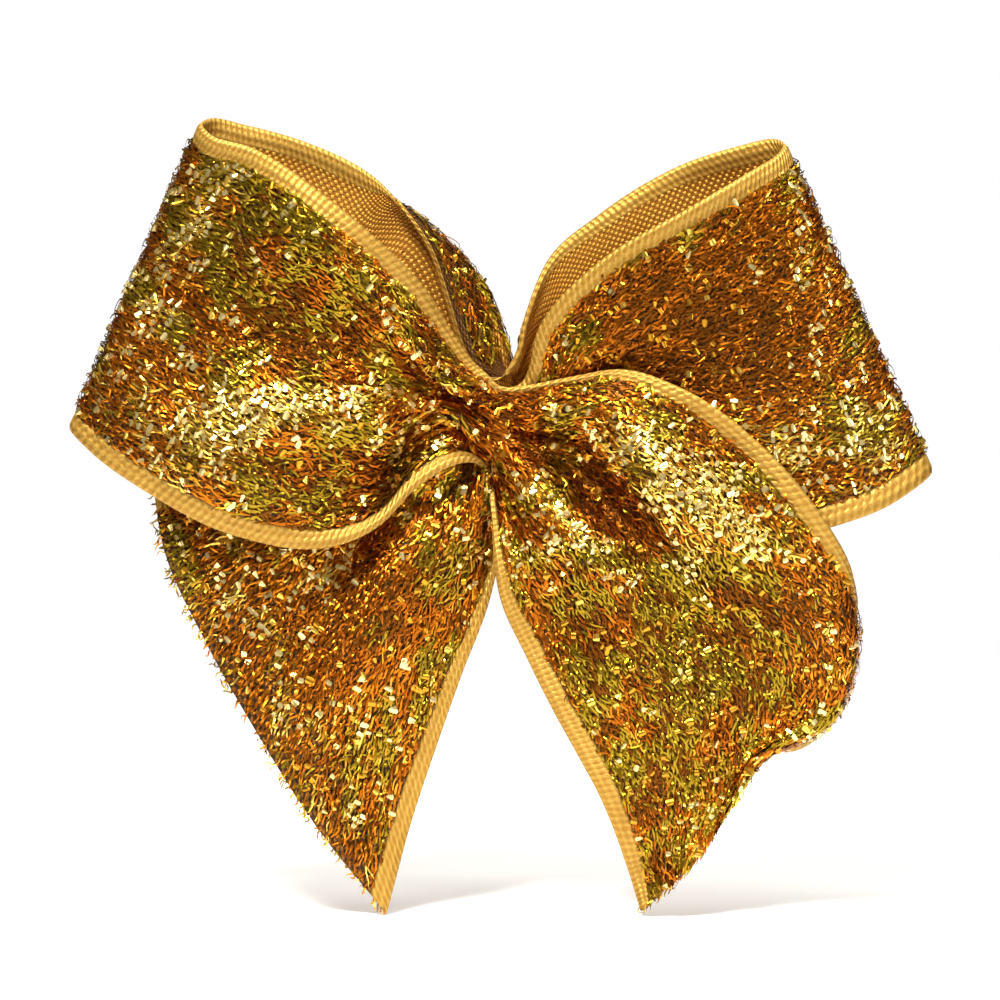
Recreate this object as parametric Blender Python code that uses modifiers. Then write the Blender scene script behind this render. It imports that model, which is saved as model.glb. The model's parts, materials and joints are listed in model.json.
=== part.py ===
"""Cheer hair bow: gold pile ribbon in two loops and two tails, on an alligator clip.

Metres, +Z up, +X to the wearer's left, the front of the bow faces -Y. The origin is in the
middle of the gap between the clip's jaws, straight behind the pinched centre of the bow.
"""
import math

import bmesh
import bpy
from mathutils import Matrix, Vector

MM = 0.001
MERGE_WITHIN = 0.001 * MM        # points closer than this are one point
WIRE_ROUNDNESS = 2               # thread and spring wire are round to this curve resolution

# ---- driving dimensions ---------------------------------------------------------------
GAP = 0.3 * MM                   # clearance between pieces that touch
RIBBON_THICK = 1.0 * MM          # woven ground and pile together
GATHER_HALF = (2.7 * MM, 2.1 * MM, 5.1 * MM)   # half sizes of the pinched centre
GATHER_ROUND = 1.2 * MM
ROUND_STEPS = 3                  # flats across each rounded edge of the gather

THREAD_RADIUS = 0.2 * MM
THREAD_TURNS = 4
THREAD_PITCH = 0.6 * MM
THREAD_STEPS = 24                # straight runs in each turn

PAD_LENGTH = 17.0 * MM
PAD_HEIGHT = 7.6 * MM
PAD_THICK = 0.8 * MM
PAD_END_STEPS = 8                # straight runs round each rounded end

CLIP_SHEET = 0.6 * MM            # thickness of the clip's steel
JAW_GAP = 4.6 * MM               # between the two jaws' inner faces
CLIP_TIP_X = -24.0 * MM
CLIP_END_X = 22.0 * MM
PIVOT_X = 6.0 * MM
TOP_HALF_WIDTH = 4.5 * MM
TOP_TIP_HALF_WIDTH = 3.2 * MM
TAPER_START = 4.0 * MM           # the top jaw narrows from this far past the pivot to its tip
HANDLE_CORNER = 2.0 * MM
CORNER_STEPS = 5
BOTTOM_HALF_WIDTH = 3.6 * MM
HANDLE_BEND_X = 8.5 * MM         # where the bottom jaw's handle starts to splay
HANDLE_SPLAY = math.radians(19.0)

PIN_RADIUS = 0.55 * MM
PIN_HOLE_RADIUS = PIN_RADIUS + GAP
PIN_HEAD_RADIUS = 1.15 * MM
PIN_HEAD_THICK = 0.5 * MM
PIN_HEAD_RIM = 0.2 * MM          # height of the head's straight rim
PIN_HEAD_CROWN = 0.7 * PIN_HEAD_RADIUS
PIN_SIDES = 24
EAR_RADIUS = 1.9 * MM
EAR_STEPS = 12
WALL_INSET = 0.05 * MM           # ears and toothed walls sit this far in from the sheet's edge

TOOTH_COUNT = 5
TOOTH_START = 0.8 * MM           # from the tip of the jaw to the first tooth
TOOTH_ROOT = 1.6 * MM            # height of the wall under the teeth
TOOTH_WALL_RUN = 1.5 * MM        # how far the wall runs out past the last tooth
TOOTH_PITCH = 1.7 * MM
TOOTH_ROW_FALL = 0.1 * MM        # each tooth stands this much lower, and more, than the last

SPRING_WIRE_RADIUS = 0.25 * MM
SPRING_COIL_RADIUS = 1.35 * MM
SPRING_TURNS = 4.5
SPRING_LEG = 7.5 * MM
SPRING_PITCH = 2.15 * SPRING_WIRE_RADIUS       # turns lie almost on each other
SPRING_STEPS = 16                # straight runs in each turn

# ---- stack of the layers, front to back, from the bow's own mid-plane ----------------------
PAD_FRONT = -(GATHER_HALF[1] + 2 * GAP + 2 * THREAD_RADIUS)
TOP_JAW_FRONT = PAD_FRONT - PAD_THICK - GAP
TOP_JAW_BACK = TOP_JAW_FRONT - CLIP_SHEET
BOW_DEPTH = -(TOP_JAW_BACK - JAW_GAP / 2)      # bow's mid-plane to the jaw gap's middle

# ---- ribbon edges: (x, forward of the bow's mid-plane, z) in millimetres ---------------------
# Each point of a top edge pairs with the one of the bottom edge across the ribbon.
LEFT_LOOP_TOP = (
    (-3.0, 1.3, 7.4), (-7.5, 4.2, 12.4), (-13.5, 6.8, 18.9), (-21.7, 8.4, 26.2),
    (-28.5, 7.2, 31.2), (-32.3, 2.8, 34.0), (-29.0, -0.6, 34.0), (-21.7, -1.8, 31.7),
    (-12.5, -1.9, 27.0), (-6.6, -1.6, 21.5), (-3.0, -1.3, 15.0))
LEFT_LOOP_BOTTOM = (
    (-3.0, 1.3, -4.0), (-9.0, 4.2, -7.0), (-17.0, 6.8, -12.5), (-27.3, 8.4, -11.7),
    (-38.5, 7.2, -6.6), (-47.6, 2.8, 0.3), (-42.0, -0.6, -1.8), (-32.0, -1.8, -3.2),
    (-21.0, -1.9, -4.2), (-11.0, -1.6, -4.6), (-3.0, -1.3, -4.6))
RIGHT_LOOP_TOP = (
    (3.0, 0.0, 5.4), (7.2, 1.8, 11.7), (13.9, 4.6, 18.4), (22.8, 6.2, 24.0),
    (28.8, 5.4, 27.8), (32.2, 2.0, 30.8), (29.0, -0.6, 31.2), (20.6, -1.7, 29.0),
    (11.7, -1.9, 24.0), (5.6, -1.6, 18.4), (3.0, -1.3, 11.0))
RIGHT_LOOP_BOTTOM = (
    (3.0, 0.0, -5.0), (8.5, 1.7, -8.5), (17.0, 4.4, -12.6), (28.0, 5.8, -13.2),
    (38.5, 5.2, -10.0), (48.4, 2.0, -4.2), (43.5, -0.6, -4.4), (33.0, -1.7, -4.6),
    (21.0, -1.9, -4.8), (11.0, -1.6, -4.8), (3.0, -1.3, -4.8))
LEFT_TAIL_OUTER = (
    (-3.0, 0.0, 3.6), (-9.0, 1.0, 2.4), (-17.0, 2.0, 0.4), (-27.0, 2.6, -2.8),
    (-33.0, 2.8, -5.8), (-37.3, 2.6, -9.2))
LEFT_TAIL_INNER = (
    (-3.1, 0.0, -5.7), (-2.0, 0.3, -9.0), (-1.1, 0.9, -13.5), (-1.2, 1.6, -20.5),
    (-5.4, 2.0, -32.0), (-12.3, 1.6, -53.0))
RIGHT_TAIL_OUTER = (
    (3.0, 1.3, 4.9), (7.2, 3.8, 5.6), (13.9, 7.6, 6.7), (21.5, 9.8, 4.1), (29.5, 10.4, -1.7),
    (36.2, 9.4, -9.5), (40.0, 7.4, -18.5), (40.0, 6.0, -28.0), (36.0, 5.0, -35.8))
RIGHT_TAIL_INNER = (
    (3.1, 1.3, -5.7), (2.2, 1.6, -8.0), (1.4, 2.0, -11.0), (0.8, 2.6, -14.5),
    (0.6, 3.2, -18.6), (3.2, 3.8, -25.0), (7.0, 4.2, -32.0), (11.7, 4.2, -40.7),
    (16.2, 4.0, -53.5))
LOOP_STATIONS = 40
TAIL_STATIONS = 20
RIBBON_ACROSS = 8


# ---- scene and shared helpers ---------------------------------------------------------------
def clear_scene():
    """Remove every object that the file opened with."""
    for obj in list(bpy.data.objects):
        bpy.data.objects.remove(obj)


def new_collection(name):
    """A collection linked to the scene."""
    group = bpy.data.collections.new(name)
    bpy.context.scene.collection.children.link(group)
    return group


def make_material(name, color, metallic, roughness):
    """A Principled material with one colour and finish."""
    material = bpy.data.materials.new(name)
    material.use_nodes = True
    shader = material.node_tree.nodes["Principled BSDF"]
    shader.inputs["Base Color"].default_value = (*color, 1.0)
    shader.inputs["Metallic"].default_value = metallic
    shader.inputs["Roughness"].default_value = roughness
    return material


def add_object(name, data, group, material=None):
    """An object in its collection, with its material."""
    obj = bpy.data.objects.new(name, data)
    group.objects.link(obj)
    if material:
        obj.data.materials.append(material)
    return obj


def in_front(x, forward, z):
    """A point given from the bow's mid-plane, in the object's frame."""
    return Vector((x, -(forward + BOW_DEPTH), z))


def smooth_path(points, count):
    """Evenly stepped points of a Catmull-Rom curve through the given ones."""
    ends = [2 * points[0] - points[1], *points, 2 * points[-1] - points[-2]]
    spans = len(points) - 1
    path = []
    for step in range(count + 1):
        at = step * spans / count
        index = min(int(at), spans - 1)
        t = at - index
        a, b, c, d = ends[index:index + 4]
        path.append(0.5 * (2 * b + (c - a) * t + (2 * a - 5 * b + 4 * c - d) * t * t
                           + (3 * b - a - 3 * c + d) * t ** 3))
    return path


def mesh_of(curve_object, name):
    """The closed mesh of a filled curve, in the curve's own place; the curve is removed."""
    graph = bpy.context.evaluated_depsgraph_get()
    mesh = bpy.data.meshes.new_from_object(curve_object.evaluated_get(graph))
    mesh.name = name
    work = bmesh.new()
    work.from_mesh(mesh)
    bmesh.ops.remove_doubles(work, verts=work.verts, dist=MERGE_WITHIN)
    bmesh.ops.recalc_face_normals(work, faces=work.faces)
    work.to_mesh(mesh)
    work.free()
    mesh.transform(curve_object.matrix_world)
    mesh.materials.clear()
    bpy.data.objects.remove(curve_object)
    return mesh


def flat_plate(name, outline, thickness, group, place):
    """A flat outline as thick as the sheet, as a closed mesh in the given place."""
    curve = bpy.data.curves.new(name, "CURVE")
    curve.dimensions = "2D"
    curve.fill_mode = "BOTH"
    curve.extrude = thickness / 2
    spline = curve.splines.new("POLY")
    spline.points.add(len(outline) - 1)
    for point, (u, v) in zip(spline.points, outline):
        point.co = (u, v, 0.0, 1.0)
    spline.use_cyclic_u = True
    obj = add_object(name, curve, group)
    obj.matrix_world = place
    bpy.context.view_layer.update()
    return mesh_of(obj, name)


def arc(center_u, center_v, radius, start, end, steps):
    """Points of an arc in a flat outline; angles in degrees."""
    points = []
    for step in range(steps + 1):
        angle = math.radians(start + (end - start) * step / steps)
        points.append((center_u + radius * math.cos(angle), center_v + radius * math.sin(angle)))
    return points


def guide(name, data, group):
    """A cutter or a piece to be joined: hidden from the render and drawn as wire."""
    obj = add_object(name, data, group)
    obj.hide_render = True
    obj.display_type = "WIRE"
    return obj


def add_boolean(obj, other, operation):
    """A Boolean modifier with the exact solver."""
    modifier = obj.modifiers.new(operation.lower() + "_" + other.name, "BOOLEAN")
    modifier.operation = operation
    modifier.solver = "EXACT"
    modifier.object = other


def shade_round(obj, degrees=40):
    """Smooth shading with creases past the given angle."""
    obj.data.shade_smooth()
    obj.data.set_sharp_from_angle(angle=math.radians(degrees))


# ---- ribbon ------------------------------------------------------------------------------
def ribbon_piece(name, top, bottom, stations, group, material):
    """Ribbon lofted between its two edges, which aren't parallel, and given its thickness."""
    top_path = smooth_path([in_front(*(MM * value for value in point)) for point in top], stations)
    low_path = smooth_path([in_front(*(MM * value for value in point)) for point in bottom],
                           stations)
    work = bmesh.new()
    rows = []
    for high, low in zip(top_path, low_path):
        rows.append([work.verts.new(high.lerp(low, step / RIBBON_ACROSS))
                     for step in range(RIBBON_ACROSS + 1)])
    for row, following in zip(rows, rows[1:]):
        for step in range(RIBBON_ACROSS):
            work.faces.new((row[step], row[step + 1], following[step + 1], following[step]))
    mesh = bpy.data.meshes.new(name)
    work.to_mesh(mesh)
    work.free()
    obj = add_object(name, mesh, group, material)
    solid = obj.modifiers.new("thickness", "SOLIDIFY")
    solid.thickness = RIBBON_THICK
    solid.offset = 0.0
    obj.data.shade_smooth()
    return obj


def centre_gather(group, material):
    """The pinched middle, as one rounded block round all three passes of ribbon."""
    mesh = bpy.data.meshes.new("centre_gather")
    work = bmesh.new()
    bmesh.ops.create_cube(work, size=2.0)
    bmesh.ops.scale(work, vec=GATHER_HALF, verts=work.verts)
    work.to_mesh(mesh)
    work.free()
    obj = add_object("centre_gather", mesh, group, material)
    obj.location = in_front(0.0, 0.0, 0.0)
    bevel = obj.modifiers.new("rounding", "BEVEL")
    bevel.width = GATHER_ROUND
    bevel.segments = ROUND_STEPS
    return obj


def binding_thread(group, material):
    """Thread wound round the gather, on a rounded-square section."""
    curve = bpy.data.curves.new("binding_thread", "CURVE")
    curve.dimensions = "3D"
    curve.bevel_depth = THREAD_RADIUS
    curve.bevel_resolution = WIRE_ROUNDNESS
    curve.use_fill_caps = True
    count = THREAD_TURNS * THREAD_STEPS
    half_y = GATHER_HALF[1] + GAP + THREAD_RADIUS
    half_z = GATHER_HALF[2] + GAP + THREAD_RADIUS
    spline = curve.splines.new("POLY")
    spline.points.add(count)
    for step, point in enumerate(spline.points):
        angle = math.tau * step / THREAD_STEPS
        across = math.cos(angle)
        up = math.sin(angle)
        # squareness keeps the winding outside the block's rounded corners
        reach = (abs(across) ** 4 + abs(up) ** 4) ** -0.25
        x = THREAD_PITCH * (step / THREAD_STEPS - THREAD_TURNS / 2)
        place = in_front(x, -half_y * across * reach, half_z * up * reach)
        point.co = (*place, 1.0)
    return add_object("binding_thread", curve, group, material)


def glue_pad(group, material):
    """Flattened oval of hot glue between the gather and the clip."""
    straight = (PAD_LENGTH - PAD_HEIGHT) / 2
    outline = (arc(straight, 0.0, PAD_HEIGHT / 2, -90, 90, PAD_END_STEPS)
               + arc(-straight, 0.0, PAD_HEIGHT / 2, 90, 270, PAD_END_STEPS))
    middle = in_front(0.0, PAD_FRONT - PAD_THICK / 2, 0.0)
    place = Matrix.Translation(middle) @ Matrix.Rotation(math.radians(90), 4, "X")
    mesh = flat_plate("glue_pad", outline, PAD_THICK, group, place)
    return add_object("glue_pad", mesh, group, material)


# ---- clip -------------------------------------------------------------------------------
def pin_cutter(name, group):
    """The bore through the ears."""
    mesh = bpy.data.meshes.new(name)
    work = bmesh.new()
    bmesh.ops.create_cone(work, cap_ends=True, segments=PIN_SIDES, radius1=PIN_HOLE_RADIUS,
                          radius2=PIN_HOLE_RADIUS, depth=4 * TOP_HALF_WIDTH)
    work.to_mesh(mesh)
    work.free()
    cutter = guide(name, mesh, group)
    cutter.location = (PIVOT_X, 0.0, 0.0)
    return cutter


def clip_top_jaw(group, cutters, material):
    """Flat jaw with two ears turned back along its edges to carry the pin."""
    tip = TOP_TIP_HALF_WIDTH
    end = TOP_HALF_WIDTH
    corner = HANDLE_CORNER
    outline = arc(CLIP_END_X - corner, -end + corner, corner, -90, 0, CORNER_STEPS)
    outline += arc(CLIP_END_X - corner, end - corner, corner, 0, 90, CORNER_STEPS)
    outline += [(PIVOT_X - TAPER_START, end)]
    outline += arc(CLIP_TIP_X + tip, 0.0, tip, 90, 270, 2 * CORNER_STEPS)
    outline += [(PIVOT_X - TAPER_START, -end)]
    middle = Vector((0.0, -(JAW_GAP / 2 + CLIP_SHEET / 2), 0.0))
    lying = Matrix.Translation(middle) @ Matrix.Rotation(math.radians(90), 4, "X")
    jaw = add_object("clip_top_jaw", flat_plate("clip_top_jaw", outline, CLIP_SHEET, group, lying),
                     group, material)
    overlap = CLIP_SHEET / 2
    ear = [(PIVOT_X + EAR_RADIUS, -JAW_GAP / 2 - overlap), *arc(PIVOT_X, 0.0, EAR_RADIUS, 0, 180, EAR_STEPS),
           (PIVOT_X - EAR_RADIUS, -JAW_GAP / 2 - overlap)]
    for side, label in ((1, "upper"), (-1, "lower")):
        z = side * (TOP_HALF_WIDTH - WALL_INSET - CLIP_SHEET / 2)
        place = Matrix.Translation((0.0, 0.0, z))
        plate = flat_plate("top_ear_" + label, ear, CLIP_SHEET, group, place)
        add_boolean(jaw, guide("top_ear_" + label, plate, cutters), "UNION")
    add_boolean(jaw, pin_cutter("top_jaw_bore", cutters), "DIFFERENCE")
    return jaw


def toothed_outline():
    """Side wall of the bottom jaw at the tip: a row of teeth that points at the top jaw."""
    foot = JAW_GAP / 2 + CLIP_SHEET / 2
    valley = JAW_GAP / 2 - TOOTH_ROOT
    crest = -(JAW_GAP / 2 - GAP)
    start = CLIP_TIP_X + TOOTH_START
    outline = [(start, foot)]
    for tooth in range(TOOTH_COUNT):
        left = start + tooth * TOOTH_PITCH
        fall = TOOTH_ROW_FALL * tooth * (tooth + 1) / 2
        outline += [(left, valley + fall / 2), (left + TOOTH_PITCH / 2, crest + fall)]
    end = start + TOOTH_COUNT * TOOTH_PITCH
    outline += [(end, valley + fall), (end + TOOTH_WALL_RUN, foot)]
    return outline


def clip_bottom_jaw(group, cutters, material):
    """Toothed jaw: a strip bent at the pivot, with toothed walls and two ears."""
    straight_y = JAW_GAP / 2 + CLIP_SHEET / 2
    half_run = (CLIP_END_X - HANDLE_BEND_X) / 2
    half_rise = half_run * math.tan(HANDLE_SPLAY)
    profile = [(CLIP_TIP_X, straight_y), (PIVOT_X, straight_y), (HANDLE_BEND_X, straight_y),
               (HANDLE_BEND_X + half_run, straight_y + half_rise),
               (CLIP_END_X, straight_y + 2 * half_rise)]
    work = bmesh.new()
    low = [work.verts.new((x, y, -BOTTOM_HALF_WIDTH)) for x, y in profile]
    high = [work.verts.new((x, y, BOTTOM_HALF_WIDTH)) for x, y in profile]
    for index in range(len(profile) - 1):
        work.faces.new((low[index], low[index + 1], high[index + 1], high[index]))
    mesh = bpy.data.meshes.new("clip_bottom_jaw")
    work.to_mesh(mesh)
    work.free()
    jaw = add_object("clip_bottom_jaw", mesh, group, material)
    solid = jaw.modifiers.new("sheet", "SOLIDIFY")
    solid.thickness = CLIP_SHEET
    solid.offset = 0.0
    ear = [(PIVOT_X - EAR_RADIUS, straight_y), *arc(PIVOT_X, 0.0, EAR_RADIUS, 180, 360, EAR_STEPS),
           (PIVOT_X + EAR_RADIUS, straight_y)]
    for side, label in ((1, "upper"), (-1, "lower")):
        z = side * (BOTTOM_HALF_WIDTH - WALL_INSET - CLIP_SHEET / 2)
        place = Matrix.Translation((0.0, 0.0, z))
        for part, outline in (("ear", ear), ("teeth", toothed_outline())):
            name = "bottom_" + part + "_" + label
            plate = flat_plate(name, outline, CLIP_SHEET, group, place)
            add_boolean(jaw, guide(name, plate, cutters), "UNION")
    add_boolean(jaw, pin_cutter("bottom_jaw_bore", cutters), "DIFFERENCE")
    return jaw


def hinge_pin(group, material):
    """Rivet with a low head at each end, turned about the pivot axis."""
    shank = TOP_HALF_WIDTH + GAP
    end = shank + PIN_HEAD_THICK
    rim = shank + PIN_HEAD_RIM
    profile = [(0.0, end), (PIN_HEAD_CROWN, end), (PIN_HEAD_RADIUS, rim),
               (PIN_HEAD_RADIUS, shank), (PIN_RADIUS, shank), (PIN_RADIUS, -shank),
               (PIN_HEAD_RADIUS, -shank), (PIN_HEAD_RADIUS, -rim),
               (PIN_HEAD_CROWN, -end), (0.0, -end)]
    work = bmesh.new()
    verts = [work.verts.new((x, 0.0, z)) for x, z in profile]
    for first, second in zip(verts, verts[1:]):
        work.edges.new((first, second))
    mesh = bpy.data.meshes.new("hinge_pin")
    work.to_mesh(mesh)
    work.free()
    pin = add_object("hinge_pin", mesh, group, material)
    pin.location = (PIVOT_X, 0.0, 0.0)
    screw = pin.modifiers.new("turned", "SCREW")
    screw.axis = "Z"
    screw.steps = PIN_SIDES
    screw.render_steps = PIN_SIDES
    screw.use_merge_vertices = True
    screw.merge_threshold = MERGE_WITHIN
    return pin


def torsion_spring(group, material):
    """Coil round the pin; its two legs push the handles apart."""
    count = round(SPRING_TURNS * SPRING_STEPS)
    half_height = SPRING_TURNS * SPRING_PITCH / 2
    # the first leg leaves along the top jaw and the last along the bottom jaw
    path = [Vector((PIVOT_X + SPRING_LEG, -SPRING_COIL_RADIUS, -half_height))]
    for step in range(count + 1):
        angle = -math.pi / 2 - math.tau * step / SPRING_STEPS
        path.append(Vector((PIVOT_X + SPRING_COIL_RADIUS * math.cos(angle),
                            SPRING_COIL_RADIUS * math.sin(angle),
                            half_height * (2 * step / count - 1))))
    path.append(Vector((PIVOT_X + SPRING_LEG, SPRING_COIL_RADIUS, half_height)))
    curve = bpy.data.curves.new("torsion_spring", "CURVE")
    curve.dimensions = "3D"
    curve.bevel_depth = SPRING_WIRE_RADIUS
    curve.bevel_resolution = WIRE_ROUNDNESS
    curve.use_fill_caps = True
    spline = curve.splines.new("POLY")
    spline.points.add(len(path) - 1)
    for point, place in zip(spline.points, path):
        point.co = (*place, 1.0)
    return add_object("torsion_spring", curve, group, material)


def main():
    clear_scene()
    bow = new_collection("cheer_hair_bow")
    cutters = new_collection("cutters")
    pile = make_material("gold_pile_ribbon", (0.50, 0.29, 0.06), 0.8, 0.4)
    thread = make_material("gold_thread", (0.62, 0.40, 0.12), 0.3, 0.5)
    glue = make_material("hot_glue", (0.85, 0.82, 0.72), 0.0, 0.35)
    steel = make_material("nickel_steel", (0.72, 0.72, 0.70), 1.0, 0.28)
    spring_steel = make_material("spring_steel", (0.45, 0.45, 0.46), 1.0, 0.35)

    ribbon_piece("left_loop", LEFT_LOOP_TOP, LEFT_LOOP_BOTTOM, LOOP_STATIONS, bow, pile)
    ribbon_piece("right_loop", RIGHT_LOOP_TOP, RIGHT_LOOP_BOTTOM, LOOP_STATIONS, bow, pile)
    ribbon_piece("left_tail", LEFT_TAIL_OUTER, LEFT_TAIL_INNER, TAIL_STATIONS, bow, pile)
    ribbon_piece("right_tail", RIGHT_TAIL_OUTER, RIGHT_TAIL_INNER, TAIL_STATIONS, bow, pile)
    centre_gather(bow, pile)
    binding_thread(bow, thread)
    glue_pad(bow, glue)

    clip_top_jaw(bow, cutters, steel)
    clip_bottom_jaw(bow, cutters, steel)
    shade_round(hinge_pin(bow, steel))
    torsion_spring(bow, spring_steel)


main()
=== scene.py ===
"""Looks of the cheer hair bow: gold pile ribbon, binding thread, glue and an alligator clip.

Metres, +Z up, the front of the bow faces -Y. The clip, the hinge, the glue's box and the bow's
mid-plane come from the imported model. The ribbon is one strip that runs left tail, right loop,
left loop, right tail, and crosses the pinched centre three times.
"""

import json
import math

import bmesh
import bpy
import numpy as np
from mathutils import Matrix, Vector


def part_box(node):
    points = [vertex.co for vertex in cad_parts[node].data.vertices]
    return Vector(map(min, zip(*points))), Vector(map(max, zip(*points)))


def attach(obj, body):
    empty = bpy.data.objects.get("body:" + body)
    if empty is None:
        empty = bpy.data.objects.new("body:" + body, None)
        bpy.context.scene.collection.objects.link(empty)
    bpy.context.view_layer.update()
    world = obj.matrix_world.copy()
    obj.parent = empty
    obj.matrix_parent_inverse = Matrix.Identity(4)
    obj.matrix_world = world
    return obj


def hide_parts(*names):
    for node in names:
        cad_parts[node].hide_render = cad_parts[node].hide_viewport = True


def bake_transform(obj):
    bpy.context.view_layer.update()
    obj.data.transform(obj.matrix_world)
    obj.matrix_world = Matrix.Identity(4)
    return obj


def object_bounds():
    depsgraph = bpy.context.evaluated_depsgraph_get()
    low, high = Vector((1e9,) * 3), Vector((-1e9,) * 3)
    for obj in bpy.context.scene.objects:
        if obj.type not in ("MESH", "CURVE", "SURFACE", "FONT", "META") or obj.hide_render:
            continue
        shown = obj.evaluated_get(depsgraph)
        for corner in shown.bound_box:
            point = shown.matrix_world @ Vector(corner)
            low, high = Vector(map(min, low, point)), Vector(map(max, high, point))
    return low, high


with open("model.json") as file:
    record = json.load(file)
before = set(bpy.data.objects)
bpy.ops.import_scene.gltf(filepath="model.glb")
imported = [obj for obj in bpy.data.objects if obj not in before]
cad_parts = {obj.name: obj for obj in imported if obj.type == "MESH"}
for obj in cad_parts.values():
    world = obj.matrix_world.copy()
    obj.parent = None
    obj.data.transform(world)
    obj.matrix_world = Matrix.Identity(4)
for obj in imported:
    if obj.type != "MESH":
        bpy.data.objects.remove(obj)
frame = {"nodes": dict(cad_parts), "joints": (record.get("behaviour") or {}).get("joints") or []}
CAD_LOW, CAD_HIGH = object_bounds()
MM = 0.001
SEED = 20

GATHER_LOW, GATHER_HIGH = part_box("centre_gather")
PAD_LOW, PAD_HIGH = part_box("glue_pad")
BOW_Y = (GATHER_LOW[1] + GATHER_HIGH[1]) / 2  # the bow's own mid-plane
PIVOT = frame["joints"][0]["pos_m"]

# ---- camera, lights and floor
CAMERA_DISTANCE = 0.58
CAMERA_RISE = math.radians(4.0)
AIM_RIGHT = 0.0012                  # share of the bow's width
AIM_FORWARD = 4.0 * MM
AIM_UP = 1.8 * MM
SENSOR = 36.0
PICTURE_WIDTH = 1.151               # in widths of the bow
# Name, place, width and height, power.
LIGHTS = (
    ("key", (-0.14, -0.33, 0.50), (0.16, 0.13), 6.6),
    ("top", (0.10, -0.04, 0.50), (0.25, 0.15), 1.5),
    ("fill", (0.42, -0.40, 0.12), (0.09, 0.14), 0.8),
    ("back", (0.10, 0.45, 0.30), (0.35, 0.25), 0.7),
)
SKY_FROM_TO = (-0.05, 0.85)         # heights on the sky's sphere
SKY_GLOW = (0.13, 0.42)             # strengths there
SKY_TINT = (1.0, 0.93, 0.80, 1.0)
FLOOR_GAP = 0.8 * MM
FLOOR_RADIUS = 0.6
FLOOR_FADE = (0.06, 0.30)           # whole up to here, gone from here

# ---- thread, glue and steel
THREAD_NEAR = 0.5 * MM              # the ribbon it ties lies this near x = 0
THREAD_LOW = -5.2 * MM
THREAD_HIGH = 4.2 * MM
THREAD_TURNS = 4
TURN_STEPS = 72
THREAD_SPAN = 0.36                  # its turns spread this far each way, mm
THREAD_PROUD = 0.04 * MM
THREAD_RADIUS = 0.10 * MM
THREAD_SIDES = 8
BEAD_WAVES = 4                      # uneven outline of the squeezed glue
BEAD_SWELL = 0.06
BEAD_FLATNESS = 0.55
BEAD_FILL = 0.93                    # share of the glue pad's box
BEAD_FILL_DEEP = 0.98
SPRING_HALF = 1.21 * MM             # half the coil's height
SPRING_WIRE = 0.25 * MM
SPRING_COIL = 1.35 * MM
SPRING_TURNS = 4.5
SPRING_LEG = 7.5 * MM
SPRING_SIDES = 12
COIL_STEPS = 36                     # in each turn
LEG_STEPS = 8
UPRIGHT = 0.2                       # less lean than this counts as upright
THREAD_COLOURS = ((0.20, 0.085, 0.014), (0.66, 0.36, 0.08))
GLUE_COLOURS = ((0.62, 0.47, 0.26), (0.82, 0.74, 0.56))
GLUE_ROUGHNESS = (0.22, 0.42)
STEEL_MARKS = 0.35                  # reach of the darker handling marks
STEEL_DARKER = 0.80
NOISE_RANGE = (0.3, 0.7)            # most of a noise texture's values

# ---- ribbon
RIBBON_WIDTH = 38.0 * MM
SELVEDGE = 2.3 * MM
GROUND_THICK = 0.30 * MM
SELVEDGE_THICK = 0.62 * MM
SELVEDGE_RAMP = 0.25                # share of the selvedge that thins to the ground
EDGE_LEAST = 0.04                   # keeps the rolled edge from closing to nothing
STEP_ALONG = 0.6 * MM
CELLS_ACROSS = 76
PATH_SAMPLES = 4000                 # samples that measure the path's length
COLUMNS = (0.0, 0.12, 0.34, 0.56, 0.78, 1.0)  # where a station's points sit across

# A station is the top selvedge, the bottom selvedge and, where the edge is rolled over, the
# crest of the roll, or six points across where its shape needs them: (x, forward of the
# mid-plane, z) in millimetres.
LEFT_TAIL = (
    ((-38.3, 2.2, -5.6), (-37.2, 3.2, -12.6), (-32.2, 4.4, -23.8), (-26.0, 5.0, -34.6),
     (-19.0, 5.0, -45.4), (-12.2, 4.4, -54.2)),
    ((-33.5, 2.6, -4.6), (-9.4, 2.2, -44.0)),
    ((-28.0, 2.6, -3.2), (-6.6, 2.6, -35.5)),
    ((-22.0, 2.3, -0.8), (-3.8, 2.6, -27.5)),
    ((-16.0, 1.9, 0.8), (-0.8, 2.0, -19.6)),
    ((-10.5, 1.3, 2.0), (0.5, 1.2, -13.5)),
    ((-6.0, 0.7, 2.9), (0.8, 0.5, -9.2)),
    ((-3.0, 0.3, 3.5), (0.2, 0.1, -6.8)),
)
CENTRE_B = (((0.0, 0.1, 4.2), (0.6, 0.1, -5.4)),)
RIGHT_LOOP = (
    ((2.9, 0.3, 5.2), (3.0, 0.1, -5.0), (4.6, 0.9, 3.4)),
    ((4.9, 1.6, 11.5), (8.5, 1.4, -7.5), (7.6, 2.3, 9.2)),
    ((11.3, 4.2, 18.6), (17.0, 3.6, -10.6), (13.5, 4.6, 15.2)),
    ((21.4, 6.0, 24.8), (28.0, 5.2, -12.0)),
    ((28.2, 5.4, 28.8), (38.1, 5.2, -10.3)),
    ((31.4, 3.8, 30.8), (44.8, 4.0, -7.6)),
    ((32.0, 2.0, 32.0), (48.7, 1.8, -4.6)),
    ((31.0, 0.2, 32.4), (46.6, 0.0, -4.2)),
    ((26.5, -1.0, 31.4), (41.0, -1.2, -4.4)),
    ((20.6, -1.7, 29.4), (33.0, -1.7, -4.6)),
    ((11.7, -1.9, 24.0), (21.0, -1.9, -4.8)),
    ((5.6, -1.6, 18.4), (11.0, -1.6, -4.8)),
    ((3.2, -1.3, 12.2), (5.5, -1.4, -4.8)),
    ((2.3, -1.1, 8.2), (2.6, -1.2, -4.8)),
)
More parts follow.
